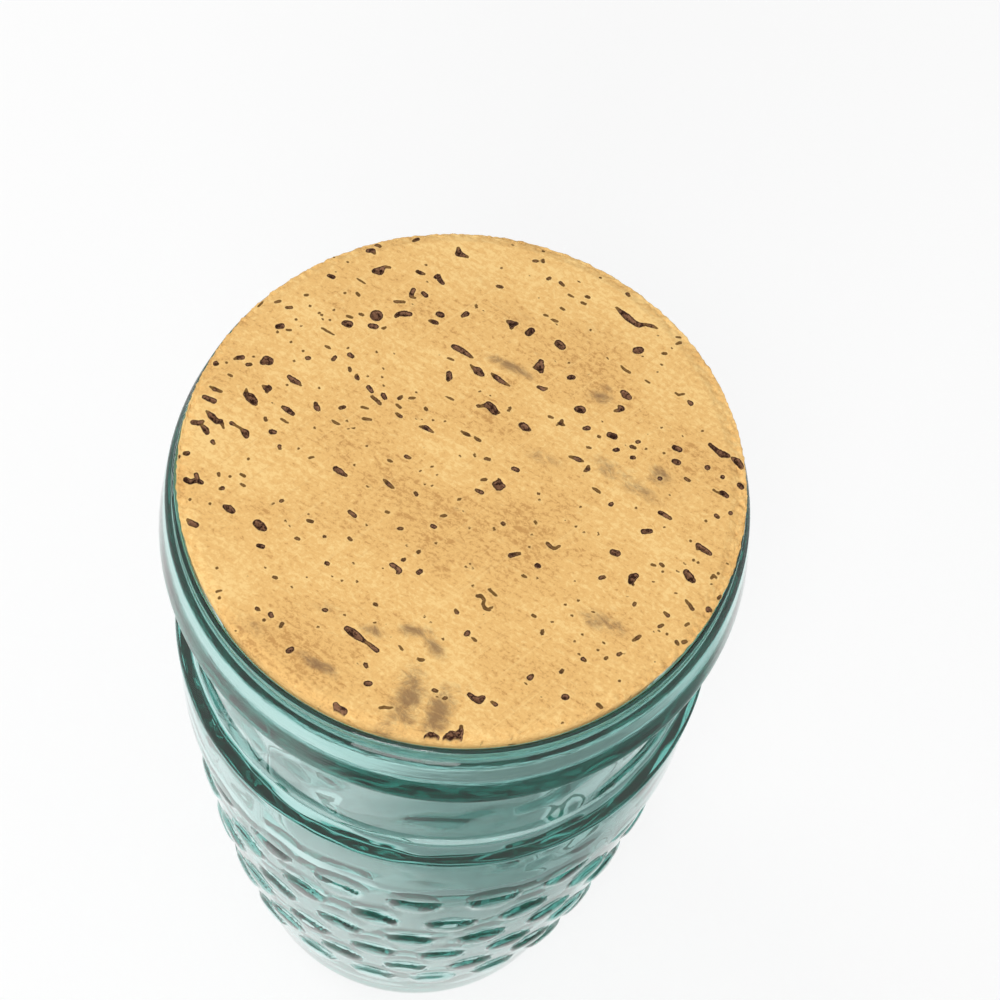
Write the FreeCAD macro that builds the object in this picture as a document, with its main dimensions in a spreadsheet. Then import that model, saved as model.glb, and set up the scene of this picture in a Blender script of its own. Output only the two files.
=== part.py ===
"""A round glass storage jar and its tapered cork lid, as a parametric document.

Sizes are in millimetres. +Z is up, and the origin is the centre of the jar's standing ring.
The jar is one turned shell of thick pressed glass with rows of raised ovals on its body.
The lid is one plug of natural cork, which sits in the conical mouth and lifts straight out.
"""
import FreeCAD
import Part
import Sketcher
import os

SIZES = (
    ("jar_height", "217.0", "glass, from the standing ring to the crest of the lip"),
    ("lid_top_radius", "50.0", "cork, at its top face"),
    ("lid_thickness", "24.0", "cork, from its bottom face to its top face"),
    ("lid_proud", "3.0", "how far the cork's top stands above the crest of the lip"),
    ("lid_edge_round", "0.8", "worn edges of the cork"),
    ("seat_taper_share", "0.16", "radius that the cork and its seat lose per height"),
    ("seat_clearance", "0.3", "between the cork and the glass"),
    ("seat_below_lid", "1.5", "how far the conical seat runs on below the cork"),
    ("rim_wall", "2.5", "from the mouth to the rim's outer face, at its top"),
    ("rim_flare", "2.0", "how far the rim widens towards its lower edge"),
    ("rim_height", "17.5", "from the crest to the rim's lower edge"),
    ("lip_height", "3.0", "upright lip above the rim's ledge"),
    ("ledge_drop", "1.0", "how far the ledge falls from the lip to the rim's outer face"),
    ("ledge_round", "0.8", "hollow between the lip and the ledge"),
    ("rim_shoulder_round", "2.4", "rounding between the ledge and the rim's outer face"),
    ("rim_cove_height", "3.5", "hollow under the rim"),
    ("lip_land", "1.2", "width of the crest before it is rounded"),
    ("lip_round_share", "0.45", "rounding of the crest, of its width"),
    ("rim_round", "3.0", "rounding of the rim's lower edge"),
    ("neck_wall", "4.3", "glass at the neck"),
    ("neck_length", "34.0", "smooth band below the rim"),
    ("neck_round", "2.5", "hollows at both ends of the neck"),
    ("shoulder_drop", "3.0", "from the neck down to the shoulder band"),
    ("shoulder_step", "1.7", "how far the body's top stands out beyond the neck"),
    ("band_rise", "1.3", "how far the shoulder band stands out from the body"),
    ("band_height", "26.5", "upright face of the shoulder band"),
    ("band_foot", "2.0", "slope from the shoulder band to the body"),
    ("band_round", "0.9", "rounding of the shoulder band"),
    ("body_taper", "10.8", "radius that the bowed side loses from the band to the base"),
    ("bow_lift", "22.5", "how far above the body's top the bowed side would stand upright"),
    ("body_wall", "4.5", "glass at the body"),
    ("heel_round", "5.0", "rounding between the body and the base"),
    ("base_thickness", "8.5", "glass at the base"),
    ("base_push_up", "3.5", "how far the middle of the base is pushed up"),
    ("ring_width", "6.0", "flat standing ring, outside of the push-up"),
    ("floor_round", "7.0", "rounding inside, between the wall and the floor"),
    ("inside_round", "6.0", "soft bends of the inside at the neck"),
    ("boss_count", "20", "ovals in each row"),
    ("boss_rows", "6", "rows of ovals, each turned half a step from the last"),
    ("boss_start", "11.0", "degrees from +X to the first oval of the bottom row"),
    ("boss_width", "10.0", "oval, round the jar"),
    ("boss_length", "11.0", "oval, up the jar"),
    ("boss_rise", "0.8", "how far an oval stands out from the body"),
    ("boss_margin_top", "0.5", "between the top row and the foot of the shoulder band"),
    ("boss_margin_bottom", "28.0", "plain glass between the heel and the bottom row"),
)

LEVELS = (
    ("lid_top", "=Sizes.jar_height + Sizes.lid_proud"),
    ("lid_bottom", "=lid_top - Sizes.lid_thickness"),
    ("lid_top_radius", "=Sizes.lid_top_radius"),
    ("lid_bottom_radius", "=Sizes.lid_top_radius - Sizes.lid_thickness * Sizes.seat_taper_share"),
    ("crest", "=Sizes.jar_height"),
    ("seat_bottom", "=lid_bottom - Sizes.seat_below_lid"),
    ("mouth_radius",
     "=Sizes.lid_top_radius - Sizes.lid_proud * Sizes.seat_taper_share + Sizes.seat_clearance"),
    ("neck_inside", "=mouth_radius - (crest - seat_bottom) * Sizes.seat_taper_share"),
    ("lip_radius", "=mouth_radius + Sizes.lip_land"),
    ("lip_round", "=Sizes.lip_land * Sizes.lip_round_share"),
    ("rim_top_radius", "=mouth_radius + Sizes.rim_wall"),
    ("rim_bottom_radius", "=rim_top_radius + Sizes.rim_flare"),
    ("lip_foot", "=crest - Sizes.lip_height"),
    ("rim_top", "=lip_foot - Sizes.ledge_drop"),
    ("rim_bottom", "=crest - Sizes.rim_height"),
    ("neck_radius", "=neck_inside + Sizes.neck_wall"),
    ("neck_top", "=rim_bottom - Sizes.rim_cove_height"),
    ("neck_bottom", "=neck_top - Sizes.neck_length"),
    ("body_radius", "=neck_radius + Sizes.shoulder_step"),
    ("band_radius", "=body_radius + Sizes.band_rise"),
    ("band_top", "=neck_bottom - Sizes.shoulder_drop"),
    ("band_bottom", "=band_top - Sizes.band_height"),
    ("body_top", "=band_bottom - Sizes.band_foot"),
    ("base_radius", "=body_radius - Sizes.body_taper"),
    ("bow_height", "=body_top + Sizes.bow_lift"),
    ("bow_drop", "=(bow_height ^ 2 - Sizes.bow_lift ^ 2) / (2 * Sizes.body_taper)"),
    ("side_centre", "=(body_radius + base_radius) / 2 - bow_drop"),
    ("side_bow", "=sqrt((body_radius - side_centre) ^ 2 + Sizes.bow_lift ^ 2)"),
    ("inside_bow", "=side_bow - Sizes.body_wall"),
    ("ring_inside", "=base_radius - Sizes.heel_round - Sizes.ring_width"),
    ("push_up", "=Sizes.base_push_up"),
    ("body_inside", "=side_centre + inside_bow"),
    ("floor_edge", "=Sizes.base_thickness"),
    ("floor_radius", "=side_centre + sqrt(inside_bow ^ 2 - (bow_height - floor_edge) ^ 2)"),
    ("floor_middle", "=floor_edge + push_up"),
    ("boss_low", "=Sizes.heel_round + Sizes.boss_margin_bottom + Sizes.boss_length / 2"),
    ("boss_high", "=body_top - Sizes.boss_margin_top - Sizes.boss_length / 2"),
    ("boss_step", "=360 / Sizes.boss_count"),
)

# Corners of the jar's section, each a radius and a height, up the outside and down the inside.
JAR_CORNERS = (
    ("axis", "push_up"),
    ("ring_inside", "ground"),
    ("base_radius", "ground"),
    ("body_radius", "body_top"),
    ("band_radius", "band_bottom"),
    ("band_radius", "band_top"),
    ("neck_radius", "neck_bottom"),
    ("neck_radius", "neck_top"),
    ("rim_bottom_radius", "rim_bottom"),
    ("rim_top_radius", "rim_top"),
    ("lip_radius", "lip_foot"),
    ("lip_radius", "crest"),
    ("mouth_radius", "crest"),
    ("neck_inside", "seat_bottom"),
    ("neck_inside", "neck_bottom"),
    ("body_inside", "bow_height"),
    ("floor_radius", "floor_edge"),
    ("axis", "floor_middle"),
)

# Sides of that section that bow outwards: the first corner of each, and the cell of its radius.
JAR_BOWS = {
    ("base_radius", "ground"): "side_bow",
    ("body_inside", "bow_height"): "inside_bow",
}

# Rounded rings of the jar: the cell of the radius, then the corners that it rounds.
JAR_ROUNDS = (
    ("Levels.lip_round", (("mouth_radius", "crest"), ("lip_radius", "crest"))),
    ("Sizes.ledge_round", (("lip_radius", "lip_foot"),)),
    ("Sizes.rim_shoulder_round", (("rim_top_radius", "rim_top"),)),
    ("Sizes.rim_round", (("rim_bottom_radius", "rim_bottom"),)),
    ("Sizes.neck_round", (("neck_radius", "neck_top"), ("neck_radius", "neck_bottom"))),
    ("Sizes.band_round", (("band_radius", "band_top"), ("band_radius", "band_bottom"))),
    ("Sizes.heel_round", (("base_radius", "ground"),)),
    ("Sizes.floor_round", (("floor_radius", "floor_edge"),)),
    ("Sizes.inside_round", (("neck_inside", "neck_bottom"), ("body_inside", "bow_height"))),
)

LID_CORNERS = (
    ("axis", "lid_bottom"),
    ("lid_bottom_radius", "lid_bottom"),
    ("lid_top_radius", "lid_top"),
    ("axis", "lid_top"),
)

LID_ROUNDS = (
    ("Sizes.lid_edge_round", (("lid_top_radius", "lid_top"), ("lid_bottom_radius", "lid_bottom"))),
)

ZERO_CELLS = ("axis", "ground")
MATCH_TOLERANCE = 1e-4

doc = FreeCAD.newDocument("glass_jar_with_cork_lid")


def fill_sheet(name, rows):
    """A sheet with one row for each cell: its note, and its value under its alias."""
    sheet = doc.addObject("Spreadsheet::Sheet", name)
    for number, (alias, text, *note) in enumerate(rows, start=1):
        sheet.set(f"A{number}", note[0] if note else alias)
        sheet.set(f"B{number}", text)
        sheet.setAlias(f"B{number}", alias)
    doc.recompute()
    return sheet


sizes = fill_sheet("Sizes", SIZES)
levels = fill_sheet("Levels", LEVELS)


def level(alias):
    """The worked-out value of a radius or a height."""
    return 0 if alias in ZERO_CELLS else levels.get(alias)


def origin_feature(body, role):
    """The body's own plane or axis with this role."""
    return next(feature for feature in body.Origin.OriginFeatures if feature.Role == role)


def new_body(label):
    """An empty body whose label names its file."""
    body = doc.addObject("PartDesign::Body", label)
    body.Label = label
    return body


def section_side(first, last, bow):
    """A side of a section, straight or bowed outwards, and the numbers of its two ends."""
    if bow is None:
        return Part.LineSegment(first, last), (1, 2)
    centre = FreeCAD.Vector(level("side_centre"), level("bow_height"), 0)
    circle = Part.Circle(centre, FreeCAD.Vector(0, 0, 1), level(bow))
    if first.y < last.y:
        return Part.ArcOfCircle(circle, circle.parameter(first), circle.parameter(last)), (1, 2)
    return Part.ArcOfCircle(circle, circle.parameter(last), circle.parameter(first)), (2, 1)


def bind_end(sketch, side, end, direction, alias, axis):
    """Put a side's end on the sketch's axis, or at the distance from it that a cell gives."""
    if alias in ZERO_CELLS:
        sketch.addConstraint(Sketcher.Constraint("PointOnObject", side, end, axis))
        return
    distance = Sketcher.Constraint(direction, -1, 1, side, end, level(alias))
    number = sketch.addConstraint(distance)
    sketch.setExpression(f"Constraints[{number}]", f"Levels.{alias}")


def turned_solid(body, corners, bows):
    """A closed section in the XZ plane, every corner bound to its cells, turned about Z."""
    sketch = body.newObject("Sketcher::SketchObject", f"{body.Name}_section")
    sketch.AttachmentSupport = (origin_feature(body, "XZ_Plane"), [""])
    sketch.MapMode = "FlatFace"
    points = [FreeCAD.Vector(level(radius), level(height), 0) for radius, height in corners]
    ends = []
    for first, last, corner in zip(points, points[1:] + points[:1], corners):
        side, side_ends = section_side(first, last, bows.get(corner))
        sketch.addGeometry(side, False)
        ends.append(side_ends)
    for index, (radius, height) in enumerate(corners):
        before = (index - 1) % len(corners)
        start = ends[index][0]
        sketch.addConstraint(Sketcher.Constraint("Coincident", before, ends[before][1], index, start))
        bind_end(sketch, index, start, "DistanceX", radius, -2)
        bind_end(sketch, index, start, "DistanceY", height, -1)
        bow = bows.get((radius, height))
        if bow is not None:
            number = sketch.addConstraint(Sketcher.Constraint("Radius", index, level(bow)))
            sketch.setExpression(f"Constraints[{number}]", f"Levels.{bow}")
    turned = body.newObject("PartDesign::Revolution", f"{body.Name}_turned")
    turned.Profile = sketch
    turned.ReferenceAxis = (sketch, ["V_Axis"])
    turned.Angle = 360
    doc.recompute()
    return turned


def ring_edge(shape, radius, height):
    """The name of the round edge that has this radius and height."""
    for number, edge in enumerate(shape.Edges, start=1):
        if not isinstance(edge.Curve, Part.Circle):
            continue
        radius_off = abs(edge.Curve.Radius - radius)
        height_off = abs(edge.Curve.Center.z - height)
        if max(radius_off, height_off) < MATCH_TOLERANCE:
            return f"Edge{number}"
    raise ValueError(f"no edge of radius {radius} at height {height}")


def rounded(body, solid, rounds):
    """The solid with its rings rounded, one fillet for each radius."""
    for number, (radius_cell, rings) in enumerate(rounds, start=1):
        edges = [ring_edge(solid.Shape, level(radius), level(height)) for radius, height in rings]
        fillet = body.newObject("PartDesign::Fillet", f"{body.Name}_round_{number}")
        fillet.Base = (solid, edges)
        fillet.setExpression("Radius", radius_cell)
        doc.recompute()
        solid = fillet
    return solid


def boss_row(body, row):
    """One row of raised ovals, which lie on the wall and lean with it where it narrows."""
    height_share = row / (sizes.get("boss_rows") - 1)
    turn_share = (row % 2) / 2
    height = f"(Levels.boss_low + {height_share} * (Levels.boss_high - Levels.boss_low))"
    drop = f"(Levels.bow_height - {height})"
    radius = f"(Levels.side_centre + sqrt(Levels.side_bow ^ 2 - {drop} ^ 2))"
    turn = f"((Sizes.boss_start + {turn_share} * Levels.boss_step) * 1 deg)"
    lean = f"asin({drop} / Levels.side_bow)"
    oval = body.newObject("PartDesign::AdditiveEllipsoid", f"oval_{row + 1}")
    oval.setExpression("Radius1", "Sizes.boss_length / 2")
    oval.setExpression("Radius2", "Sizes.boss_rise")
    oval.setExpression("Radius3", "Sizes.boss_width / 2")
    place = f"vector({radius} * cos({turn}); {radius} * sin({turn}); {height})"
    facing = f"rotation(vector(0; 0; 1); {turn}) * rotation(vector(0; 1; 0); {lean})"
    oval.setExpression("Placement", f"placement({place}; {facing})")
    doc.recompute()
    row_pattern = body.newObject("PartDesign::PolarPattern", f"oval_row_{row + 1}")
    row_pattern.Originals = [oval]
    row_pattern.Axis = (origin_feature(body, "Z_Axis"), [""])
    row_pattern.Angle = 360
    row_pattern.setExpression("Occurrences", "Sizes.boss_count")
    body.Tip = row_pattern
    doc.recompute()


def glass_jar():
    """The glass shell: a turned section, its rounded rings, then the rows of ovals."""
    body = new_body("glass_jar")
    shell = rounded(body, turned_solid(body, JAR_CORNERS, JAR_BOWS), JAR_ROUNDS)
    plain_volume = shell.Shape.Volume
    for row in range(int(sizes.get("boss_rows"))):
        boss_row(body, row)
    if body.Shape.Volume <= plain_volume:
        raise ValueError("the ovals added no glass")
    return body


def cork_lid():
    """The cork plug, which narrows downwards as its seat does."""
    body = new_body("cork_lid")
    rounded(body, turned_solid(body, LID_CORNERS, {}), LID_ROUNDS)
    return body


pieces = [glass_jar(), cork_lid()]
doc.recompute()

for item in doc.Objects:
    if "Invalid" in item.State or "Error" in item.State:
        raise ValueError(f"{item.Name} failed: {item.State}")

os.makedirs("parts", exist_ok=True)
for piece in pieces:
    if piece.Shape.isNull() or not piece.Shape.isValid():
        raise ValueError(f"{piece.Label} has no valid shape")
    piece.Shape.exportStep(f"parts/{piece.Label}.step")
    box = piece.Shape.BoundBox
    print(piece.Label, f"{piece.Shape.Volume:.0f} mm3", f"z {box.ZMin:.2f} to {box.ZMax:.2f}")
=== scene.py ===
"""Looks of a pressed glass jar and its natural cork lid, laid out as an add-on and run as a script.

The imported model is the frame: each piece stands where its node stands, in metres, with +Z up.
"""
import math

import bmesh
import bpy
import numpy as np
from mathutils import Matrix, Vector


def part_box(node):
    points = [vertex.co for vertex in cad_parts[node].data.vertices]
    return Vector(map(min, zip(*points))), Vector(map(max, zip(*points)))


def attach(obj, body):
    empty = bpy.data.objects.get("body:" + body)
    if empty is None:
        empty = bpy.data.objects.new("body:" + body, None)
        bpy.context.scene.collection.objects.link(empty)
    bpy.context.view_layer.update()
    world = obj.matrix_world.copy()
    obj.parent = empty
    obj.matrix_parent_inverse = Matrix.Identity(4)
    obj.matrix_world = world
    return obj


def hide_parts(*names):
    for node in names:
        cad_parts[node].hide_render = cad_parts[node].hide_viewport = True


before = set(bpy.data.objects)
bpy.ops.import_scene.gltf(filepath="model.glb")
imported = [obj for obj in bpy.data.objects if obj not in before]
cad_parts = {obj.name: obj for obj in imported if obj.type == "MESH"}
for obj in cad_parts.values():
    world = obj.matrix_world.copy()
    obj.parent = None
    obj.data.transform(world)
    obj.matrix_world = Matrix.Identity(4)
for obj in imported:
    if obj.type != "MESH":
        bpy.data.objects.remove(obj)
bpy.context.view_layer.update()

bl_info = {
    "name": "Glass jar with cork lid",
    "version": (1, 0, 0),
    "blender": (4, 5, 0),
    "location": "3D View > Sidebar > Jar",
    "description": "Models a pressed glass jar, its cork lid and a plain studio",
    "category": "Add Mesh",
}

JAR_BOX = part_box("glass_jar")
LID_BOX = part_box("cork_lid")
JAR_CREST = JAR_BOX[1].z
LID_TOP = LID_BOX[1].z
LID_BOTTOM = LID_BOX[0].z

PHOTO_SIDE = 1000
SENSOR_WIDTH_MM = 36.0
MILLIMETRE = 0.001
PLACE_TOLERANCE = 1e-6

# Strokes that make up the larger pores of the cork's top, each a run of points.
# A point is a pixel across, a pixel down and half the stroke's width in pixels.
PORE_STROKES = (
    ((329, 275.5, 1.8), (333, 277, 2.2)),
    ((357, 278.5, 0.5), (361, 281, 0.8), (365, 283.5, 0.5)),
    ((305, 295, 1.2), (307.5, 295, 1.2)),
    ((357, 293, 1.4), (359, 295.5, 1.3)),
    ((275.5, 302, 1.2), (280, 301, 1.3)),
    ((287, 307.5, 1.5), (291.5, 307.5, 1.4)),
    ((258.5, 304.5, 1.2), (262, 300.5, 1.0)),
    ((347, 316, 1.2), (352, 317.5, 1.2)),
    ((360, 314, 1.4), (363, 315, 1.2)),
    ((344.5, 323, 2.8), (349, 324, 4.0)),
    ((278, 326.5, 2.6), (281.5, 326, 3.0)),
    ((287, 330, 1.0), (290.5, 330, 1.1)),
    ((322, 328, 0.8), (327, 331, 1.0), (334, 335, 0.4)),
    ((325.5, 346, 0.8), (328.5, 347.5, 1.3), (330, 348.5, 0.9)),
    ((234.5, 359, 1.0), (238, 357.5, 2.0), (242.5, 357.5, 2.2)),
    ((263, 362, 3.0), (266.5, 360, 4.6), (269, 361, 4.4)),
    ((333, 359.5, 1.8), (335, 357, 1.8)),
    ((307, 358, 1.8), (309, 358, 1.8)),
    ((349.5, 354.5, 2.2), (352.5, 356.5, 1.8)),
    ((215.5, 362.5, 2.0), (217, 363.5, 1.6)),
    ((247.5, 364.5, 1.8), (250.5, 364.5, 1.6)),
    ((349.5, 368, 1.6), (350, 370.5, 1.5)),
    ((228.5, 374.5, 0.9), (231.5, 376, 1.1)),
    ((289, 376.5, 1.8), (293, 380, 3.0), (298, 382.5, 2.2), (301, 385.5, 0.8)),
    ((357, 377, 2.2), (358, 379, 1.6)),
    ((210, 386.5, 0.7), (214.5, 389, 1.9), (221, 391.5, 1.2)),
    ((262.5, 385.5, 0.8), (266, 388, 2.5), (268.5, 388, 3.2), (267, 391.5, 1.6)),
    ((246.5, 388.5, 0.5), (246, 394, 2.5), (250.5, 397.5, 4.6), (254, 401.5, 3.6), (256, 404.5, 1.2)),
    ((204, 396.5, 1.9), (208, 398.5, 2.4), (214, 401, 2.6)),
    ((315.5, 403.5, 1.8), (317, 407.5, 2.8), (318.5, 410, 1.6)),
    ((340, 408, 1.6), (344, 407, 1.9)),
    ((283, 407, 1.6), (288, 410, 2.7), (293, 414, 1.8)),
    ((206.5, 411, 0.9), (211.5, 416, 3.2), (217, 421.5, 2.6), (221, 421, 2.0), (223.5, 428, 0.9)),
    ((192.5, 421.5, 1.9), (198, 423, 2.4), (202.5, 421.5, 1.6)),
    ((201.5, 424.5, 1.3), (206, 430, 3.0), (207, 432.5, 2.2)),
    ((265, 418, 1.5), (266, 420, 1.5)),
    ((281.5, 419, 1.0), (288, 423, 0.8)),
    ((231.5, 423, 2.0), (236, 425.5, 1.0), (241, 428.5, 1.0), (245.5, 433, 3.6), (246.5, 436, 2.4)),
    ((271.5, 431.5, 2.6), (274.5, 432, 2.2)),
    ((362, 407, 1.3), (368, 408.5, 0.9)),
    ((363, 418.5, 1.3), (371, 419.5, 1.2)),
    ((332.5, 420.5, 0.9), (336, 423, 1.3), (339.5, 424.5, 0.8)),
    ((368.5, 250.5, 2.3), (373, 250, 2.2), (374.5, 253.5, 1.2)),
    ((374.5, 271, 2.6), (379.5, 271, 4.6), (383, 268, 2.2)),
    ((385.5, 266.5, 1.2), (389.5, 267.5, 1.3)),
    ((376, 243, 1.6), (380, 246, 1.4)),
    ((414, 240.5, 1.5), (417.5, 238.5, 1.9)),
    ((417.5, 271.5, 1.7), (420.5, 273, 2.0), (424, 274, 1.2)),
    ((436, 277, 2.2), (438.5, 275.5, 1.9), (440, 280, 2.0), (442.5, 283, 2.1)),
    ((413.5, 289.5, 2.0), (411.5, 294, 2.1), (410.5, 296.5, 1.4), (415, 298, 1.0)),
    ((423, 293, 1.9), (426, 295.5, 2.2)),
    ((395, 301.5, 1.4), (404, 302, 1.3)),
    ((376.5, 315.5, 6.3),),
    ((396, 316.5, 1.6), (398, 314, 2.2), (404.5, 313.5, 3.2), (410, 314, 2.3)),
    ((370.5, 325.5, 2.6), (375.5, 326.5, 2.8)),
    ((383, 328.5, 1.2), (385.5, 327.5, 1.2)),
    ((438.5, 314, 2.8), (441.5, 315, 3.0)),
    ((429.5, 320.5, 1.2), (434, 322, 2.4), (437, 323, 1.8)),
    ((462.5, 316, 1.6), (466.5, 313.5, 2.8)),
    ((476, 305, 1.2), (476.5, 307.5, 1.3)),
    ((458.5, 248, 1.4), (459, 253.5, 3.6), (463, 255, 2.2), (467.5, 257, 1.2)),
    ((497.5, 286, 1.6), (501.5, 287, 1.7)),
    ((534, 261, 1.5), (537, 261, 1.5)),
    ((543, 260, 1.5), (543, 262, 1.5)),
    ((548, 279, 1.6), (550, 278, 1.5)),
    ((507.5, 321, 1.3), (512, 323.5, 3.4), (516.5, 323.5, 1.8)),
    ((512, 323.5, 3.0), (511.5, 328.5, 1.4)),
    ((528.5, 333, 3.4), (531.5, 330.5, 3.2)),
    ((544.5, 315, 1.1), (547.5, 316, 1.1)),
    ((552, 319.5, 1.0), (555.5, 321, 1.3), (558, 321.5, 0.7)),
    ((454, 346.5, 2.6), (459.5, 349, 3.0), (466, 353, 2.4), (472, 357.5, 1.3)),
    ((448, 358, 0.9), (453.5, 360, 0.9)),
    ((470.5, 365, 0.6), (474, 368, 1.9), (478, 371, 4.2), (482, 374.5, 2.4)),
    ((491.5, 373.5, 0.9), (496, 377, 2.5), (500.5, 380.5, 2.4), (506, 384, 1.5), (510, 386, 0.5)),
    ((449, 373, 2.4), (449.5, 377, 2.8), (448, 380, 1.6)),
    ((534, 367.5, 1.2), (539.5, 366.5, 4.8), (541, 361.5, 2.6)),
    ((539.5, 366.5, 4.4), (541, 371, 2.4)),
    ((538.5, 387, 1.7), (543.5, 389, 2.1), (546.5, 388.5, 1.2)),
    ((368.5, 387, 2.2), (372, 391.5, 1.8)),
    ((372, 396.5, 1.4), (378, 401.5, 1.7), (380.5, 404, 1.4)),
    ((383, 394.5, 2.2), (385, 398, 2.0)),
    ((399, 398.5, 1.8), (401.5, 396.5, 1.4)),
    ((396.5, 404.5, 1.0), (400.5, 407.5, 1.4)),
    ((396, 413, 1.0), (400.5, 416.5, 1.9)),
    ((409.5, 398, 1.3), (414.5, 398, 1.0)),
    ((425.5, 408, 1.4), (426.5, 410, 1.5)),
    ((445, 396.5, 0.4), (451, 398.5, 0.9), (453.5, 400, 0.7)),
    ((478, 406, 1.6), (483, 406, 1.2), (488.5, 404.5, 3.4), (492, 408, 4.3), (495, 412, 3.4),
     (499.5, 412.5, 0.8)),
    ((510, 408, 1.4), (508.5, 411, 1.2)),
    ((549, 416.5, 1.2), (552.5, 417.5, 1.1)),
    ((560.5, 282.5, 1.7), (563.5, 285.5, 1.3)),
    ((568.5, 294.5, 1.0), (573, 297, 0.9)),
    ((586.5, 296.5, 1.6), (589, 297.5, 1.5)),
    ((582, 302.5, 1.4), (585.5, 304, 1.1)),
    ((561, 308, 1.2), (564.5, 310, 0.9)),
    ((627.5, 293.5, 1.8), (629, 295.5, 1.2)),
    ((616.5, 307.5, 0.9), (622, 312.5, 2.4), (628, 317.5, 3.6), (634, 322.5, 2.8), (639, 325, 2.8),
     (645, 324.5, 1.4), (652, 326, 1.9), (657.5, 328.5, 0.6)),
    ((558.5, 343.5, 4.0), (562, 346.5, 3.6)),
    ((636, 350.5, 3.4), (640, 350, 3.8)),
    ((663, 353.5, 1.3), (666, 353.5, 1.3)),
    ((676.5, 336.5, 0.8), (681, 336.5, 0.6)),
    ((676.5, 344, 0.8), (680.5, 342, 1.4)),
    ((569.5, 377.5, 2.4), (573, 377, 2.4)),
    ((621, 366, 0.8), (624.5, 369.5, 1.1), (629.5, 372.5, 1.2)),
    ((645.5, 380, 0.7), (649.5, 383, 0.8)),
    ((623, 392, 2.4), (626, 395, 4.0), (629, 397.5, 2.6)),
    ((615, 411, 1.2), (619.5, 410, 2.0), (621.5, 408.5, 3.0), (619, 406, 1.3)),
    ((577.5, 409, 3.2), (581.5, 409.5, 4.2)),
    ((675.5, 393, 0.8), (678.5, 395, 0.9), (684, 394, 0.9)),
    ((689, 401.5, 1.6), (691, 403.5, 2.3)),
    ((562, 420.5, 1.4), (560.5, 423.5, 2.0), (564, 425, 1.2)),
    ((584.5, 428.5, 1.8), (588, 428, 2.4)),
    ((598.5, 436.5, 1.4), (600, 437, 1.2)),
    ((609.5, 434.5, 2.8), (614.5, 436.5, 3.1)),
    ((587, 447, 1.1), (590.5, 448, 0.9)),
    ((615, 450, 2.0), (617.5, 449.5, 2.0)),
    ((637, 442, 1.7), (639, 441.5, 1.7)),
    ((631.5, 446.5, 1.8), (635, 448, 1.5)),
    ((632, 457.5, 2.0), (634, 457.5, 1.8)),
    ((568.5, 456.5, 0.6), (574, 457.5, 1.7), (578.5, 459.5, 2.3), (582.5, 461, 1.2)),
    ((674.5, 447.5, 2.6), (679.5, 449.5, 2.7)),
    ((710, 444.5, 1.8), (716, 450, 2.2), (722, 454, 3.6), (727.5, 455.5, 2.4)),
    ((733, 458, 1.6), (738, 461, 2.8), (742, 466, 1.6)),
    ((585, 471, 1.3), (588, 469, 2.1), (588.5, 466, 1.2)),
    ((674.5, 461, 2.6), (678, 462.5, 2.8)),
    ((707.5, 467.5, 2.6),),
    ((722.5, 477, 2.1),),
    ((660, 478.5, 2.2),),
    ((685.5, 478.5, 1.6), (689, 480.5, 1.5)),
    ((739.5, 484, 1.9), (742, 486, 2.0)),
    ((593, 488, 0.8), (597, 490.5, 1.5), (600.5, 493, 0.8)),
    ((713.5, 490, 1.0), (718, 492.5, 0.9), (722.5, 493, 2.6), (727, 496, 2.0)),
    ((610.5, 504.5, 2.0), (612, 503.5, 1.8)),
    ((660, 512.5, 2.0), (665, 515, 2.0), (670.5, 518.5, 1.6)),
    ((716, 515.5, 1.8), (718, 517, 1.7)),
    ((730.5, 513, 1.9),),
    ((643.5, 531.5, 2.5), (650.5, 531, 2.2)),
    ((697.5, 549, 1.2), (698, 545, 2.2), (703, 549, 2.8), (710, 553.5, 2.0)),
    ((613, 552, 3.0), (617.5, 553.5, 3.0)),
    ((547.5, 543, 1.6), (550.5, 546.5, 1.6), (554, 549, 1.3), (559.5, 546, 1.1)),
    ((661, 564, 1.5), (663, 566, 1.4)),
    ((652, 564.5, 1.2), (655, 565.5, 1.0)),
    ((631, 582, 2.6), (632.5, 577.5, 3.8), (636, 575.5, 2.6)),
    ((686.5, 572.5, 3.2), (690, 577.5, 4.0), (693, 580.5, 2.4)),
    ((600.5, 578, 1.9), (604, 577, 1.6)),
    ((711.5, 578, 1.2), (713.5, 575.5, 1.3), (716, 577, 1.0)),
    ((686, 600.5, 1.0), (689, 604, 1.5), (692.5, 609, 1.7)),
    ((708.5, 608.5, 2.2), (712, 610.5, 1.0)),
    ((634, 605, 1.5), (635, 603, 1.4)),
    ((664.5, 612.5, 1.1), (668, 615.5, 1.8)),
    ((659.5, 626.5, 1.6), (662.5, 625, 1.3)),
    ((685.5, 625.5, 1.0), (688.5, 623.5, 1.1)),
    ((633, 640.5, 1.0), (637.5, 638, 1.7), (640, 636, 1.2)),
    ((676.5, 641.5, 1.6), (678, 643.5, 1.3)),
    ((683.5, 641, 1.3), (686.5, 640.5, 1.3)),
    ((719.5, 597, 1.6), (721.5, 596, 1.6)),
    ((212.5, 441.5, 2.0), (214, 443.5, 1.3)),
    ((184.5, 452.5, 1.6), (188, 453, 1.9)),
    ((178.5, 455.5, 1.6),),
    ((279.5, 446, 1.8), (280, 449, 1.2)),
    ((309, 458, 1.0), (313.5, 457, 1.0)),
    ((335.5, 468.5, 2.6), (340, 471.5, 2.8), (346, 475.5, 1.5)),
    ((185.5, 479, 2.0), (190.5, 482, 2.4), (196.5, 480, 2.4), (201.5, 482.5, 2.0)),
    ((196, 474.5, 1.9), (197.5, 479, 2.0)),
    ((218.5, 473.5, 1.5), (219, 475.5, 1.2)),
    ((240.5, 474, 1.0), (244.5, 476, 1.4)),
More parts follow.
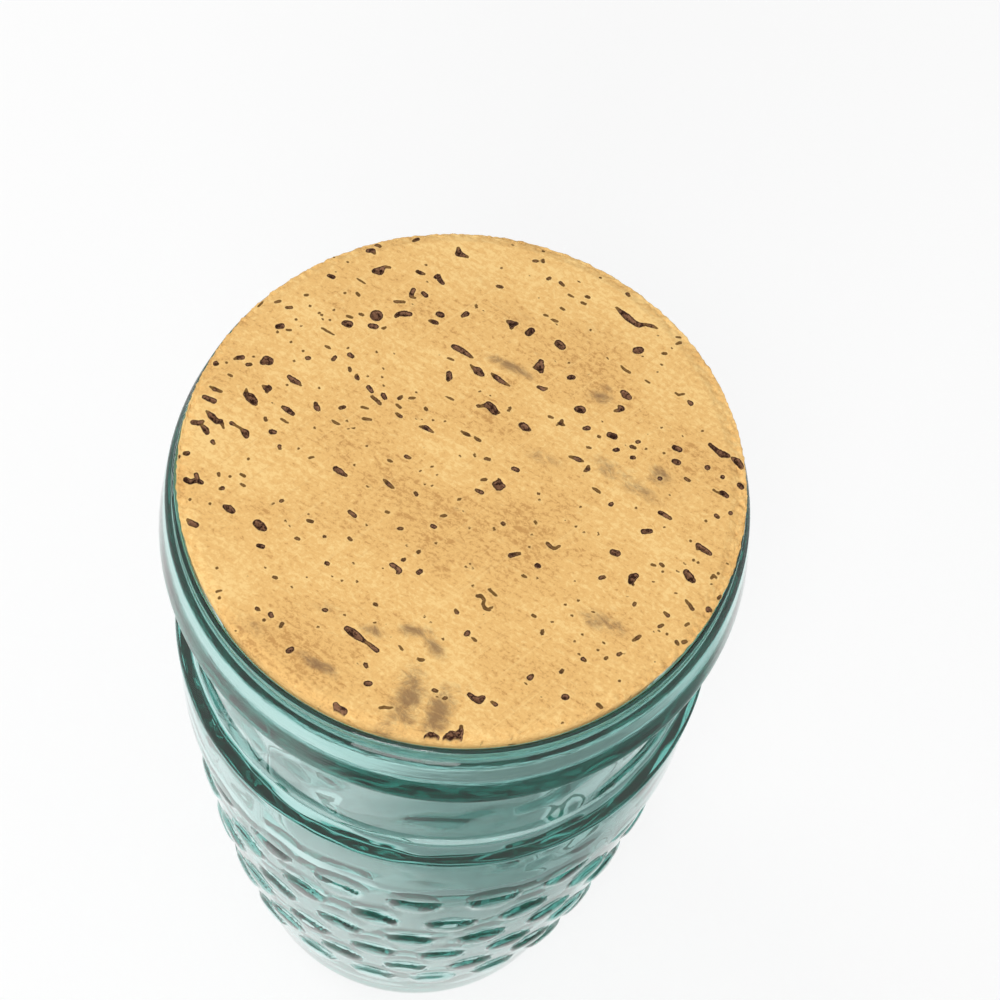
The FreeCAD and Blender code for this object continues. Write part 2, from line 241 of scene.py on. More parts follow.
    ((241, 484, 1.0), (244.5, 486, 1.1)),
    ((220, 489, 1.2), (222.5, 488, 2.0)),
    ((281, 501, 1.6), (282.5, 500.5, 1.5)),
    ((225, 506.5, 2.2), (229, 508.5, 3.6), (232.5, 511, 2.6)),
    ((257, 523, 3.8), (261, 526.5, 4.2), (264, 528.5, 2.8)),
    ((187.5, 519, 0.9), (191, 522.5, 2.4), (196, 525, 2.6)),
    ((308, 520.5, 1.5), (312, 521.5, 1.6)),
    ((349.5, 511.5, 1.7), (355, 516, 1.9)),
    ((258.5, 545.5, 2.0), (262.5, 546.5, 2.2)),
    ((296, 538, 1.4), (298.5, 539, 1.5)),
    ((324.5, 536.5, 1.7),),
    ((349, 538, 1.5), (351, 540, 1.4)),
    ((326.5, 563, 2.0), (328, 564, 1.6)),
    ((274, 577, 1.5), (276.5, 578, 1.3)),
    ((216.5, 591.5, 0.9), (221, 590.5, 0.8)),
    ((257, 608.5, 1.8), (259, 610, 1.2)),
    ((270.5, 614, 2.2), (271.5, 616, 1.9)),
    ((264, 620, 1.5),),
    ((324, 610, 1.8), (326, 610, 1.8)),
    ((420, 426.5, 1.0), (426, 427.5, 2.4), (430, 430.5, 1.6), (433.5, 432.5, 0.6)),
    ((461, 431, 0.6), (465, 433.5, 1.7), (468.5, 435, 1.6)),
    ((474, 436.5, 0.6), (477.5, 439.5, 1.7), (480.5, 441, 1.0)),
    ((522, 425, 3.2), (525.5, 427.5, 3.8), (529.5, 430, 1.4)),
    ((406, 456.5, 1.9), (410, 458, 1.3)),
    ((388.5, 460, 1.3), (391.5, 461.5, 1.1)),
    ((474, 453.5, 1.0), (475, 456, 1.1)),
    ((485.5, 458.5, 1.5), (489.5, 459.5, 1.4)),
    ((384, 479.5, 1.1), (388, 483.5, 2.0), (393, 488, 1.2)),
    ((415.5, 492.5, 1.6), (416.5, 494.5, 1.8)),
    ((476.5, 490, 1.6), (482, 492.5, 1.9)),
    ((458, 499.5, 1.1), (460.5, 499, 1.1)),
    ((499, 479.5, 1.6), (499, 485, 4.6), (503.5, 486, 2.0)),
    ((495.5, 484, 3.0), (499, 487, 4.0)),
    ((482, 480, 1.4), (486, 479.5, 1.4)),
    ((513.5, 468.5, 2.0), (517.5, 470, 2.1)),
    ((386, 511.5, 1.2), (389, 512.5, 1.2)),
    ((441.5, 516, 1.3), (445.5, 515.5, 1.4)),
    ((399, 528.5, 1.7), (402, 528.5, 1.5)),
    ((432.5, 526, 2.0), (435, 527, 1.8)),
    ((502.5, 523, 1.7), (504, 524.5, 1.6)),
    ((535, 521.5, 1.2), (536.5, 524, 1.0)),
    ((538.5, 493.5, 1.5),),
    ((418, 552.5, 1.6), (419.5, 551, 1.5)),
    ((403, 560, 1.8), (404.5, 559, 1.6)),
    ((391.5, 564.5, 2.0), (396, 567, 2.0), (399.5, 570.5, 2.4), (398, 573, 1.6)),
    ((418.5, 572.5, 2.2), (420.5, 571, 2.2)),
    ((510.5, 555.5, 2.3), (514, 554.5, 1.8), (519.5, 553.5, 1.5)),
    ((529.5, 547, 1.2),),
    ((537.5, 565.5, 2.6), (538.5, 566, 2.2)),
    ((523, 575.5, 1.4), (526, 577, 1.0)),
    ((477.5, 596, 1.6), (481, 595.5, 1.5), (484.5, 600, 1.3), (483, 604, 1.4), (485, 608.5, 1.5),
     (489.5, 610, 1.2), (492, 607, 0.9)),
    ((489.5, 589.5, 1.3), (496.5, 596, 0.9)),
    ((374.5, 604, 1.6), (376.5, 605, 1.5)),
    ((455.5, 610, 1.3), (457, 612.5, 1.8)),
    ((532.5, 615, 1.4), (535, 616.5, 1.3)),
    ((347, 628.5, 2.6), (352, 632, 3.8), (358, 636.5, 3.4), (362, 639.5, 2.2), (367, 642.5, 1.3),
     (372, 646.5, 1.9), (377, 650.5, 2.0)),
    ((288.5, 651, 2.4), (291.5, 649, 2.4)),
    ((280.5, 626.5, 1.5), (282.5, 623, 1.5)),
    ((365.5, 664, 1.8), (366.5, 666.5, 1.6)),
    ((366.5, 683.5, 2.5), (369.5, 683.5, 2.5)),
    ((335.5, 704, 2.0), (337.5, 709, 3.6), (343, 711, 3.2)),
    ((380, 708, 1.2), (384, 707, 1.2), (388.5, 708, 1.0), (393, 707.5, 0.5)),
    ((417.5, 658.5, 1.0), (421, 660.5, 1.5), (424, 659.5, 0.9)),
    ((399.5, 646, 0.9), (402.5, 650, 0.9)),
    ((466, 634.5, 1.8), (468, 632.5, 2.4)),
    ((472, 637.5, 0.8), (475.5, 640.5, 1.3)),
    ((542.5, 630.5, 1.4), (542, 633.5, 1.6)),
    ((583, 659, 2.1), (585, 660.5, 1.4)),
    ((618.5, 654.5, 1.7), (620.5, 653.5, 1.5)),
    ((605.5, 658.5, 1.4), (607, 657.5, 1.3)),
    ((529.5, 678, 2.4), (532, 675.5, 1.8)),
    ((561, 672, 1.7), (562.5, 670, 1.5)),
    ((564.5, 697, 2.8), (566.5, 697, 2.6)),
    ((469.5, 694.5, 2.0), (474, 698.5, 2.4), (479, 700.5, 3.4), (483, 697.5, 2.2)),
    ((491.5, 701.5, 0.9), (495.5, 704.5, 2.0)),
    ((433.5, 690, 1.6), (436.5, 691, 1.6)),
    ((444, 698.5, 1.5), (446, 697.5, 1.5)),
    ((598, 704, 1.5), (602, 707.5, 1.3)),
    ((426, 738, 2.0), (431, 735.5, 3.0), (436, 738, 2.6)),
    ((446, 739, 2.4), (452, 734, 3.4), (457, 738, 4.6), (461, 730, 2.0), (461.5, 726, 1.4)),
)

# Middles of the smallest pores, each a pixel across and a pixel down.
PORE_DOTS = (
    (345, 293), (310, 306), (334, 310), (319, 313), (322, 315), (330, 320), (296, 319.5), (277.5, 332),
    (291, 342), (303, 351), (348, 348), (226.5, 362.5), (367.5, 376), (319, 388), (347, 421), (354, 428),
    (314.5, 428), (426, 265), (501.5, 268), (543.5, 250.5), (383.5, 368.5), (382, 377), (383.5, 385.5),
    (416.5, 392.5), (433, 420), (445, 421.5), (480, 391.5), (557, 424.5), (590.5, 330), (600.5, 277.5),
    (569, 363), (646, 449), (661.5, 427.5), (664, 453), (636, 508), (706, 521), (576, 526.5),
    (584, 532.5), (580.5, 507), (690.5, 541), (698, 562.5), (693.5, 560), (662.5, 571.5), (718.5, 573),
    (667, 634), (582.5, 634.5), (574.5, 641.5), (578.5, 600.5), (572, 615.5), (565.5, 604.5),
    (248.5, 459), (354.5, 465), (367, 446), (230, 476.5), (190, 499.5), (210, 503.5), (285.5, 521),
    (366.5, 525), (353.5, 563.5), (217, 568), (357, 581.5), (342, 580.5), (219.5, 597.5), (292, 587),
    (344.5, 615), (420.5, 471), (437.5, 475), (460, 456), (424.5, 484), (432, 485.5), (539.5, 500),
    (469.5, 528), (494, 529.5), (532, 535), (407, 545.5), (436, 543), (537, 578), (466, 567),
    (470.5, 564), (472.5, 568.5), (473, 586), (424.5, 616.5), (318, 627), (443, 639), (598, 650),
    (579, 654), (619.5, 681), (563, 723), (298.5, 448.5), (287, 385), (294, 361), (376.5, 352),
)
DOT_HALF_WIDTH = 1.2

# Stains of the cork's top: a pixel across, a pixel down, half its length and half its width in pixels,
# the turn in degrees, counted downwards from the right, and how dark it is.
STAINS = (
    (319, 665, 24, 7, 33, 1.00),
    (408, 698, 36, 17, 105, 0.90),
    (390, 722, 20, 13, 150, 0.70),
    (439, 712, 26, 14, 110, 0.95),
    (416, 631, 18, 8, 10, 0.80),
    (374, 631, 16, 7, 20, 0.60),
    (434, 646, 17, 10, 60, 0.65),
    (460, 690, 18, 9, 20, 0.40),
    (603, 622, 28, 10, 18, 0.75),
    (512, 367, 28, 6, 30, 0.85),
    (600, 397, 14, 7, 20, 0.75),
    (607, 388, 9, 4, 20, 0.60),
    (615, 470, 32, 13, 30, 0.50),
    (660, 477, 14, 10, 40, 0.75),
    (640, 490, 34, 9, 30, 0.50),
    (545, 458, 24, 7, 20, 0.50),
    (520, 315, 40, 16, 30, 0.22),
    (590, 330, 50, 20, 30, 0.22),
    (480, 280, 50, 22, 25, 0.18),
    (330, 610, 40, 10, 25, 0.28),
    (250, 625, 24, 9, 30, 0.45),
    (205, 380, 40, 24, 110, 0.15),
    (560, 500, 70, 20, 25, 0.12),
    (300, 500, 90, 30, 25, 0.10),
)


def length(name, description, default):
    """A size property, in metres."""
    return bpy.props.FloatProperty(name=name, description=description, default=default,
                                   unit="LENGTH", precision=5)


def number(name, description, default):
    """A plain number property."""
    return bpy.props.FloatProperty(name=name, description=description, default=default, precision=4)


def angle(name, description, degrees):
    """An angle property, given in degrees."""
    return bpy.props.FloatProperty(name=name, description=description,
                                   default=math.radians(degrees), subtype="ANGLE", precision=4)


def count(name, description, default):
    """A whole number property."""
    return bpy.props.IntProperty(name=name, description=description, default=default, min=1)


def colour(name, description, default):
    """A linear colour property."""
    return bpy.props.FloatVectorProperty(name=name, description=description, default=default,
                                         subtype="COLOR", size=3, min=0, max=1)


class GlassSettings(bpy.types.PropertyGroup):
    """Sizes and tint of the glass jar."""
    crest: length("Height", "From the standing ring to the crest of the lip", JAR_CREST)
    mouth_radius: length("Mouth radius", "Inside radius at the crest", 0.04982)
    neck_inside: length("Neck bore", "Inside radius of the neck", 0.04622)
    seat_depth: length("Seat depth", "Height of the conical seat below the crest", 0.0225)
    lip_land: length("Lip", "Width of the crest", 0.0012)
    lip_height: length("Lip height", "Upright lip above the rim's ledge", 0.003)
    ledge_drop: length("Ledge", "Fall of the ledge from the lip to the rim's outer face", 0.001)
    rim_wall: length("Rim wall", "From the mouth to the rim's outer face at its top", 0.0025)
    rim_flare: length("Rim flare", "How far the rim widens downwards", 0.0020)
    rim_height: length("Rim height", "From the crest to the rim's lower edge", 0.0175)
    rim_cove: length("Rim cove", "Height of the hollow under the rim", 0.0035)
    neck_wall: length("Neck wall", "Glass at the neck", 0.0043)
    neck_length: length("Neck length", "Smooth band below the rim", 0.034)
    shoulder_drop: length("Shoulder drop", "From the neck to the shoulder band", 0.003)
    shoulder_step: length("Shoulder step", "How far the body's top stands out beyond the neck", 0.0017)
    band_rise: length("Band rise", "How far the shoulder band stands out", 0.0013)
    band_height: length("Band height", "Upright face of the shoulder band", 0.0265)
    band_foot: length("Band foot", "Slope from the shoulder band to the body", 0.002)
    body_taper: length("Body taper", "Radius lost from the band to the base", 0.0108)
    bow_lift: length("Bow lift", "How far above its top the bowed side would stand upright", 0.0225)
    body_wall: length("Body wall", "Glass at the body", 0.0045)
    heel_round: length("Heel", "Rounding between the body and the base", 0.005)
    base_thickness: length("Base", "Glass at the base", 0.0085)
    push_up: length("Push-up", "Rise of the middle of the base", 0.0035)
    ring_width: length("Standing ring", "Width of the flat ring", 0.006)
    oval_count: count("Ovals", "Raised ovals in each row", 20)
    oval_rows: count("Rows", "Rows of raised ovals", 6)
    oval_start: angle("Start", "From +X to the first oval of the bottom row", 11.0)
    oval_width: length("Oval width", "Round the jar", 0.010)
    oval_length: length("Oval length", "Up the jar", 0.011)
    oval_rise: length("Oval rise", "How far an oval stands out", 0.0010)
    oval_margin_top: length("Top margin", "Between the top row and the shoulder band's foot", 0.0005)
    oval_margin_bottom: length("Bottom margin", "Plain glass below the bottom row", 0.028)
    wave_size: length("Wave size", "Width of the soft waves of the inside", 0.013)
    wave_rise: length("Wave rise", "Height of the soft waves of the inside", 0.0014)
    tint: colour("Tint", "What is left of white light after much glass", (0.06, 0.66, 0.60))
    density: number("Density", "How fast the glass takes up light, per metre", 50.0)
    bend: number("Bend", "Refractive index", 1.52)
    polish: number("Polish", "Roughness of the fire-polished skin", 0.006)


class CorkSettings(bpy.types.PropertyGroup):
    """Sizes and colours of the cork lid."""
    top_radius: length("Top radius", "At the top face", 0.05)
    taper_share: number("Taper", "Radius lost per height", 0.16)
    edge_round: length("Edge", "Rounding of the worn edges", 0.0008)
    span: count("Span", "Faces across the top", 270)
    stretch: length("Stretch", "How far the worn top is wider to the sides than its circle", 0.00095)
    squeeze: length("Squeeze", "How far the worn top is narrower from front to back", 0.0004)
    shift_right: length("Right", "How far the worn top lies to the right", 0.00035)
    shift_back: length("Back", "How far the worn top lies to the back", 0.0004)
    pit_depth: length("Pit depth", "Depth of the largest pores", 0.0011)
    pit_wall: length("Pit wall", "Width of a pore's sloping wall", 0.0005)
    crumble: length("Crumble", "How far the worn edge is eaten in", 0.0009)
    speck_count: count("Specks", "Finest pores scattered over the top", 90)
    grain_turn: angle("Grain", "Direction of the streaks on the top", -25)
    saw_turn: angle("Saw marks", "Direction of the fine saw marks", 46)
    pale: colour("Pale cork", "Fresh cut cork", (0.90, 0.61, 0.245))
    tan: colour("Tan cork", "Most of the cork", (0.80, 0.485, 0.170))
    brown: colour("Brown streaks", "Darker layers", (0.56, 0.300, 0.095))
    stain: colour("Stain", "Grey-brown stains", (0.23, 0.130, 0.062))
    # Near black: partly a pore's own dark content, partly painted shade of the hollow.
    pore: colour("Pore", "Deep in a pore", (0.036, 0.011, 0.004))
    pore_wall: colour("Pore wall", "Woody lining of a pore", (0.28, 0.140, 0.075))
    small_pore: colour("Small pore", "Shallow pores", (0.22, 0.115, 0.026))


class StudioSettings(bpy.types.PropertyGroup):
    """Place of the camera, and the levels of the light."""
    focal_pixels: number("Focal length", "In pixels of the square picture", 2300.0)
    distance: length("Distance", "From the camera to the middle of the lid's top", 0.40461)
    elevation: angle("Elevation", "Of the camera over the lid's top", 64.0454)
    pan: angle("Pan", "Turn to the side, away from the lid's middle", -1.0179)
    tilt: angle("Tilt", "Turn upwards, away from the lid's middle", 0.5392)
    roll: angle("Roll", "Turn about the line of sight", 7.5097)
    floor_size: length("Floor", "Side of the floor", 6.0)
    floor_colour: colour("Floor", "Pale floor", (0.95, 0.95, 0.95))
    # Grey that only the glass's mirrored and bent rays see: a painted reflection.
    painted_reflection_colour: colour("Near floor", "Floor at one side of the jar, as glass shows it",
                        (0.28, 0.31, 0.305))
    near_turn: angle("Near turn", "Direction of that side, about Z", -50.0)
    near_start: length("Near start", "How far out that floor starts to turn grey", 0.03)
    near_end: length("Near end", "How far out that floor is all grey", 0.10)
    far_start: length("Far start", "Distance where that floor starts to turn pale again", 0.32)
    far_end: length("Far end", "Distance where that floor is all pale again", 0.45)
    base_radius: length("Base", "Radius of the floor hidden by the jar's base", 0.040)
    base_full: length("Base full", "Radius inside which that floor is all dull", 0.036)
    base_shade: number("Base shade", "Share of its white that the floor loses under the base", 0.75)
    backdrop_share: number("Backdrop", "Share of plain white that the floor shows", 0.75)
    light_bounces: count("Bounces", "How often light may turn inside the glass", 40)
    room_colour: colour("Room", "Soft light from all round", (0.50, 0.50, 0.50))


SETTINGS = {
    "jar_glass": GlassSettings,
    "jar_cork": CorkSettings,
    "jar_studio": StudioSettings,
}


class Value:
    """One output of a shader node. Arithmetic on it adds Math nodes."""

    def __init__(self, finish, socket):
        self.finish = finish
        self.socket = socket

    def math(self, operation, *values):
        return self.finish.node("ShaderNodeMath", {"operation": operation}, dict(enumerate(values)))

    def __add__(self, other):
        return self.math("ADD", self, other)

    def __radd__(self, other):
        return self.math("ADD", other, self)

    def __sub__(self, other):
        return self.math("SUBTRACT", self, other)

    def __rsub__(self, other):
        return self.math("SUBTRACT", other, self)

    def __mul__(self, other):
        return self.math("MULTIPLY", self, other)

    def __rmul__(self, other):
        return self.math("MULTIPLY", other, self)

    def larger(self, other):
        return self.math("MAXIMUM", self, other)


SHOWING_RAYS = ("Is Camera Ray", "Is Transmission Ray", "Is Glossy Ray")
WHITE = (1.0, 1.0, 1.0, 1.0)


class Finish:
    """A material or a world, and the one way in which its nodes are made."""

    def __init__(self, owner):
        self.owner = owner
        self.owner.use_nodes = True
        self.tree = self.owner.node_tree
        self.tree.nodes.clear()

    def node(self, kind, settings=None, inputs=None, output=0):
        """A node with its settings made first, then its sockets set or linked. Gives one output."""
        made = self.tree.nodes.new(kind)
        for key, setting in (settings or {}).items():
            setattr(made, key, setting)
        for key, value in (inputs or {}).items():
            socket = self.find(made.inputs, key)
            if isinstance(value, Value):
                self.tree.links.new(value.socket, socket)
            else:
                socket.default_value = value
        if not made.outputs:
            return made
        return Value(self, self.find(made.outputs, output))

    @staticmethod
    def find(sockets, key):
        """The socket with this number, identifier or name."""
        if isinstance(key, int):
            return sockets[key]
        return next((socket for socket in sockets if socket.identifier == key), None) or sockets[key]

    def place(self, turn=0.0, scale=(1, 1, 1)):
        """Object coordinates, turned about Z and then scaled."""
        coordinates = self.node("ShaderNodeTexCoord", output="Object")
        turned = self.node("ShaderNodeMapping", None,
                           {"Vector": coordinates, "Rotation": (0, 0, -turn)})
        return self.node("ShaderNodeMapping", None, {"Vector": turned, "Scale": scale})

    def noise(self, place, scale, detail=4.0, roughness=0.55, distortion=0.0):
        """Cloudy values about a half."""
        return self.node("ShaderNodeTexNoise", None, {
            "Vector": place, "Scale": scale, "Detail": detail,
            "Roughness": roughness, "Distortion": distortion}, "Fac")

    def rise(self, value, low, high):
        """A soft step from nothing at low to all at high."""
        return self.node("ShaderNodeMapRange", {"interpolation_type": "SMOOTHSTEP"},
                         {"Value": value, "From Min": low, "From Max": high})

    def blend(self, share, first, second):
        """The first colour, with a share of the second."""
        return self.node("ShaderNodeMix", {"data_type": "RGBA"}, {
            "Factor_Float": share, "A_Color": self.rgba(first), "B_Color": self.rgba(second)},
            "Result_Color")

    @staticmethod
    def rgba(value):
        return value if isinstance(value, Value) else (*value, 1.0)

    def bump(self, strength, distance, height):
        """A normal that leans with the height, as if the surface had relief."""
        return self.node("ShaderNodeBump", None, {
            "Strength": strength, "Distance": distance, "Height": height}, "Normal")

    def attribute(self, name):
        """A number that the mesh holds at each point."""
        return self.node("ShaderNodeAttribute", {"attribute_name": name}, output="Fac")

    def seen(self):
        """Whether a ray comes from the camera, straight or by way of glass."""
        direct, through, mirrored = (self.node("ShaderNodeLightPath", output=ray) for ray in SHOWING_RAYS)
        return direct.larger(through).larger(mirrored)

    def surface(self, sockets, volume=None):
        """The shader itself, joined to the material's output."""
        shader = self.node("ShaderNodeBsdfPrincipled", None, sockets)
        joined = {"Surface": shader}
        if volume is not None:
            joined["Volume"] = volume
        self.node("ShaderNodeOutputMaterial", None, joined)
        return self.owner


def edit_selection(test):
    """Select the points of the edited mesh that pass the test, and nothing else."""
    bpy.ops.mesh.select_mode(type="VERT")
    bpy.ops.mesh.select_all(action="DESELECT")
    mesh = bmesh.from_edit_mesh(bpy.context.object.data)
    for vertex in mesh.verts:
        if test(vertex.co):
            vertex.select_set(True)
    mesh.select_flush(True)
    bmesh.update_edit_mesh(bpy.context.object.data)


def points_of(piece):
    """The places of a mesh's points, one row each."""
    places = np.empty(len(piece.data.vertices) * 3)
    piece.data.vertices.foreach_get("co", places)
    return places.reshape(-1, 3)


def store(piece, name, values):
    """Keep one number for each point of a mesh."""
    attribute = piece.data.attributes.new(name, "FLOAT", "POINT")
    attribute.data.foreach_set("value", np.asarray(values, dtype=np.float32))


WEIGHT_LEVELS = 500


def weigh(piece, name, weights):
    """A vertex group that holds the weights above zero."""
    group = piece.vertex_groups.new(name=name)
    levels = np.round(weights * WEIGHT_LEVELS).astype(int)
    for level in np.unique(levels[levels > 0]):
        group.add(np.flatnonzero(levels == level).tolist(), level / WEIGHT_LEVELS, "REPLACE")


def displaced(piece, group, strength, texture=None, mid_level=0.0):
    """Push a vertex group along its normals, by a texture where one is given."""
    modifier = piece.modifiers.new(group, "DISPLACE")
    modifier.vertex_group = group
    modifier.strength = strength
    modifier.mid_level = mid_level
    modifier.direction = "NORMAL"
    if texture is not None:
        modifier.texture = texture
        modifier.texture_coords = "LOCAL"
    bpy.ops.object.modifier_apply(modifier=modifier.name)


def clouds(name, size, depth):
    """A cloudy texture for soft waves."""
    texture = bpy.data.textures.new(name, "CLOUDS")
    texture.noise_scale = size
    texture.noise_depth = depth
    return texture


def bowed(at, inwards, heights):
    """Radius at some heights of the bowed side, or of a side that lies further inwards."""
    drop = np.maximum(at["bow_height"] - np.asarray(heights), 0)
    return at["bow_centre"] + np.sqrt(np.maximum((at["bow"] - inwards) ** 2 - drop ** 2, 0))


def jar_levels(glass):
    """Radii and heights of the jar that its sizes lead to."""
    lip = glass.mouth_radius + glass.lip_land
    rim_top = glass.mouth_radius + glass.rim_wall
    neck = glass.neck_inside + glass.neck_wall
    neck_top = glass.crest - glass.rim_height - glass.rim_cove
    neck_bottom = neck_top - glass.neck_length
    band_top = neck_bottom - glass.shoulder_drop
    band_bottom = band_top - glass.band_height
    body_top = band_bottom - glass.band_foot
    body = neck + glass.shoulder_step
    base = body - glass.body_taper
    bow_height = body_top + glass.bow_lift
    bow_drop = (bow_height ** 2 - glass.bow_lift ** 2) / (2 * glass.body_taper)
    bow_centre = (body + base) / 2 - bow_drop
    return {
        "lip": lip, "rim_top": rim_top, "rim_bottom": rim_top + glass.rim_flare, "neck": neck,
        "neck_top": neck_top, "neck_bottom": neck_bottom, "band": body + glass.band_rise,
        "band_top": band_top, "band_bottom": band_bottom, "body_top": body_top, "body": body,
        "base": base, "bow_height": bow_height, "bow_centre": bow_centre,
        "bow": math.hypot(body - bow_centre, glass.bow_lift),
    }


ROW_STEP = 0.0010
INSIDE_STEP = 0.010
PLAIN_STEP = 0.004
TURN_STEPS = 360
HEEL_CLEARANCE = 1.6
FLOOR_CLEARANCE = 2.0


def outside_heights(glass, body_top):
    """Heights of the rows of points up the body: close together where the ovals are."""
    start = HEEL_CLEARANCE * glass.heel_round
    low = glass.heel_round + glass.oval_margin_bottom
    high = body_top - glass.oval_margin_top
    heights = []
    for first, last, step in ((start, low, INSIDE_STEP), (low, high, ROW_STEP), (high, body_top, PLAIN_STEP)):
        rows = round((last - first) / step)
        heights += [first + (last - first) * row / rows for row in range(rows)]
    return heights


# Roundings of the jar's section, in metres.
RING_ROUND = 0.002
BAND_FOOT_ROUND = 0.0009
BAND_TOP_ROUND = 0.0022
NECK_ROUND = 0.0025
RIM_EDGE_ROUND = 0.003
RIM_SHOULDER_ROUND = 0.0024
LEDGE_ROUND = 0.0008
CREST_ROUND = 0.0005
INSIDE_ROUND = 0.006
FLOOR_ROUND = 0.007


def jar_outline(glass):
    """Corners of the jar's section, up the outside and down the inside: radius, height, rounding."""
    at = jar_levels(glass)
    corners = [
        (0, glass.push_up, 0),
        (at["base"] - glass.heel_round - glass.ring_width, 0, RING_ROUND),
        (at["base"], 0, glass.heel_round),
    ]
    for height in outside_heights(glass, at["body_top"]):
        corners.append((bowed(at, 0, height), height, 0))
    corners += [
        (at["body"], at["body_top"], 0),
        (at["band"], at["band_bottom"], BAND_FOOT_ROUND),
        (at["band"], at["band_top"], BAND_TOP_ROUND),
        (at["neck"], at["neck_bottom"], NECK_ROUND),
        (at["neck"], at["neck_top"], NECK_ROUND),
        (at["rim_bottom"], glass.crest - glass.rim_height, RIM_EDGE_ROUND),
        (at["rim_top"], glass.crest - glass.lip_height - glass.ledge_drop, RIM_SHOULDER_ROUND),
        (at["lip"], glass.crest - glass.lip_height, LEDGE_ROUND),
        (at["lip"], glass.crest, CREST_ROUND),
        (glass.mouth_radius, glass.crest, CREST_ROUND),
        (glass.neck_inside, glass.crest - glass.seat_depth, INSIDE_ROUND),
        (glass.neck_inside, at["neck_bottom"], INSIDE_ROUND),
        (bowed(at, glass.body_wall, at["bow_height"]), at["bow_height"], INSIDE_ROUND),
    ]
    floor_edge = glass.base_thickness
    last = FLOOR_CLEARANCE * floor_edge
    inside_rows = round((at["bow_height"] - last) / INSIDE_STEP)
    for row in range(1, inside_rows + 1):
        height = at["bow_height"] - (at["bow_height"] - last) * row / inside_rows
        corners.append((bowed(at, glass.body_wall, height), height, 0))
    corners += [
        (bowed(at, glass.body_wall, floor_edge), floor_edge, FLOOR_ROUND),
        (0, floor_edge + glass.push_up, 0),
    ]
    return corners


def draw_section(name, corners):
    """A wire through the corners, in the XZ plane."""
    bpy.ops.object.select_all(action="DESELECT")
    bpy.ops.mesh.primitive_plane_add(size=MILLIMETRE)
    piece = bpy.context.object
    piece.name = name
    piece.data.name = name
    bpy.ops.object.mode_set(mode="EDIT")
    bpy.ops.mesh.select_mode(type="VERT")
    bpy.ops.mesh.select_all(action="SELECT")
    bpy.ops.mesh.merge(type="CENTER")
    bpy.ops.transform.translate(value=(corners[0][0], 0, corners[0][1]))
    for before, after in zip(corners, corners[1:]):
        step = (after[0] - before[0], 0, after[1] - before[1])
        bpy.ops.mesh.extrude_vertices_move(TRANSFORM_OT_translate={"value": step})
    return piece


ROUND_SEGMENTS = 5


def round_corners(corners):
    """Round each corner of the edited wire that has a rounding."""
    for before, here, after in zip(corners, corners[1:], corners[2:]):
        if not here[2]:
            continue
        corner = Vector((here[0], 0, here[1]))
        first = Vector((before[0], 0, before[1])) - corner
        last = Vector((after[0], 0, after[1])) - corner
        turn = math.pi - first.angle(last)
        edit_selection(lambda place: (place - corner).length < PLACE_TOLERANCE)
        bpy.ops.mesh.bevel(affect="VERTICES", offset=here[2] * math.tan(turn / 2),
                           segments=ROUND_SEGMENTS, profile=0.5)


def divide_long_edges(step):
    """Cut each edge of the edited wire that is longer than two steps."""
    mesh = bmesh.from_edit_mesh(bpy.context.object.data)
    long_edges = [edge for edge in mesh.edges if edge.calc_length() > 2 * step]
    for edge in long_edges:
        cuts = round(edge.calc_length() / step) - 1
        bmesh.ops.subdivide_edges(mesh, edges=[edge], cuts=cuts)
    bmesh.update_edit_mesh(bpy.context.object.data)


def turn_section(piece):
    """Turn the edited wire about Z into a closed solid, its faces outwards."""
    bpy.ops.object.mode_set(mode="OBJECT")
    turn = piece.modifiers.new("turn", "SCREW")
    turn.steps = TURN_STEPS
    turn.render_steps = TURN_STEPS
    turn.use_merge_vertices = True
    turn.merge_threshold = PLACE_TOLERANCE
    bpy.ops.object.modifier_apply(modifier=turn.name)
    bpy.ops.object.mode_set(mode="EDIT")
    bpy.ops.mesh.select_all(action="SELECT")
    bpy.ops.mesh.normals_make_consistent(inside=False)
    bpy.ops.object.mode_set(mode="OBJECT")
    bpy.ops.object.shade_smooth()


OVAL_FULLNESS = 0.36


def oval_weights(glass, places):
    """How far each point of the body stands out in an oval, from 0 to 1."""
    at = jar_levels(glass)
    low = glass.heel_round + glass.oval_margin_bottom + glass.oval_length / 2
    high = at["body_top"] - glass.oval_margin_top - glass.oval_length / 2
    radius = np.hypot(places[:, 0], places[:, 1])
    turn = np.arctan2(places[:, 1], places[:, 0])
    outside = np.abs(radius - bowed(at, 0, places[:, 2])) < glass.body_wall / 4
    weights = np.zeros(len(places))
    step = 2 * math.pi / glass.oval_count
    for row in range(glass.oval_rows):
        height = low + (high - low) * row / (glass.oval_rows - 1)
        start = glass.oval_start + step / 2 * (row % 2)
        away = (turn - start + step / 2) % step - step / 2
        across = away * radius / (glass.oval_width / 2)
        along = (places[:, 2] - height) / (glass.oval_length / 2)
        weights = np.maximum(weights, 1 - across ** 2 - along ** 2)
    return np.where(outside, weights ** OVAL_FULLNESS, 0)


def wave_weights(glass, places):
    """Where the glass is wavy: the inside, from the base up to the cork's seat."""
    at = jar_levels(glass)
    radius = np.hypot(places[:, 0], places[:, 1])
    inside = radius < bowed(at, glass.body_wall / 2, places[:, 2])
    seat_bottom = glass.crest - glass.seat_depth
    below_seat = np.clip((seat_bottom - places[:, 2]) / glass.rim_height, 0, 1)
    above_base = np.clip(places[:, 2] / glass.base_thickness, 0, 1)
    return inside * below_seat * above_base


RINGS_FLATTENED = (0.04, 0.04, 1.0)
RING_DEPTH = 0.3 * MILLIMETRE


